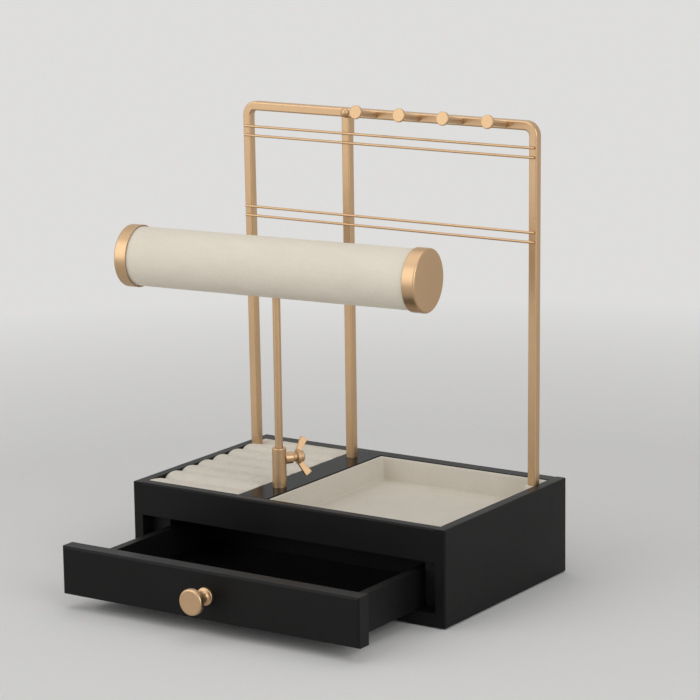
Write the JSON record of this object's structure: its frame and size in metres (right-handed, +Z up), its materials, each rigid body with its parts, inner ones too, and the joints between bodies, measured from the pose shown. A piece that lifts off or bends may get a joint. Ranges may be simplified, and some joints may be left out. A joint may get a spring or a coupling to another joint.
{
  "type": "jewelry stand with drawer",
  "caption": "Jewellery stand: black lacquered case with drawer, ring pad and lined tray, gold square-tube frame with hooks and wires, and a velvet bracelet bar",
  "frame": {"origin": "centre of the case's resting face, on the table", "axes": "+X to the right as seen from the drawer's side, +Y to the back, +Z up"},
  "size_m": [0.3037, 0.2945, 0.3569],
  "materials": {
    "black_lacquer": "satin",
    "gloss_black": "gloss",
    "black_board": "matte",
    "champagne_gold": "satin",
    "cream_velvet": "velvet",
    "grey_velvet": "velvet",
    "black_felt": "matte",
    "grey_board": "matte",
    "pale_wood": "matte",
    "zinc_steel": "satin"
  },
  "bodies": {
    "case": {"base_felt": "black_felt", "bottom_board": "black_lacquer", "side_panel_left": "black_lacquer", "side_panel_right": "black_lacquer", "back_panel": "black_lacquer", "front_rail": "black_lacquer", "tray_floor": "black_board", "tray_divider": "black_lacquer", "drawer_guide_left": "black_board", "drawer_guide_right": "black_board", "ring_pad": "grey_velvet", "tray_liner": "grey_velvet", "frame_hoop": "champagne_gold", "middle_post": "champagne_gold", "post_inserts": "zinc_steel", "frame_screws": "zinc_steel", "post_screw": "champagne_gold", "wire_upper_1": "champagne_gold", "wire_upper_2": "champagne_gold", "wire_lower_1": "champagne_gold", "wire_lower_2": "champagne_gold", "hook_1": "champagne_gold", "hook_2": "champagne_gold", "hook_3": "champagne_gold", "hook_4": "champagne_gold", "tbar_sleeve": "champagne_gold"},
    "drawer": {"drawer_front": "black_lacquer", "drawer_side_left": "black_lacquer", "drawer_side_right": "black_lacquer", "drawer_back": "black_lacquer", "drawer_bottom": "gloss_black", "drawer_knob": "champagne_gold", "knob_screw": "zinc_steel"},
    "rod": {"tbar_rod": "champagne_gold"},
    "roll": {"roll_hub": "pale_wood", "roll_core": "grey_board", "roll_cover": "cream_velvet", "end_cap_left": "champagne_gold", "end_cap_right": "champagne_gold"},
    "wing_screw": {"wing_screw": "champagne_gold"}
  },
  "joints": [
    {"name": "drawer_slide", "type": "slide", "parent": "case", "child": "drawer", "axis": [0, -1, 0], "range_m": [-0.099, 0.035]},
    {"name": "tbar_height", "type": "slide", "parent": "case", "child": "rod", "axis": [0, 0, 1], "range_m": [-0.021, 0.012]},
    {"name": "tbar_swivel", "type": "hinge", "parent": "rod", "child": "roll", "pos_m": [-0.03375, -0.0442, 0.2423], "axis": [0, 0, 1], "range_deg": [-41, 31]},
    {"name": "wing_screw_turn", "type": "hinge", "parent": "case", "child": "wing_screw", "pos_m": [-0.02613, -0.03246, 0.0955], "axis": [0.5446, 0.8387, 0], "range_deg": [0, 360]}
  ]
}
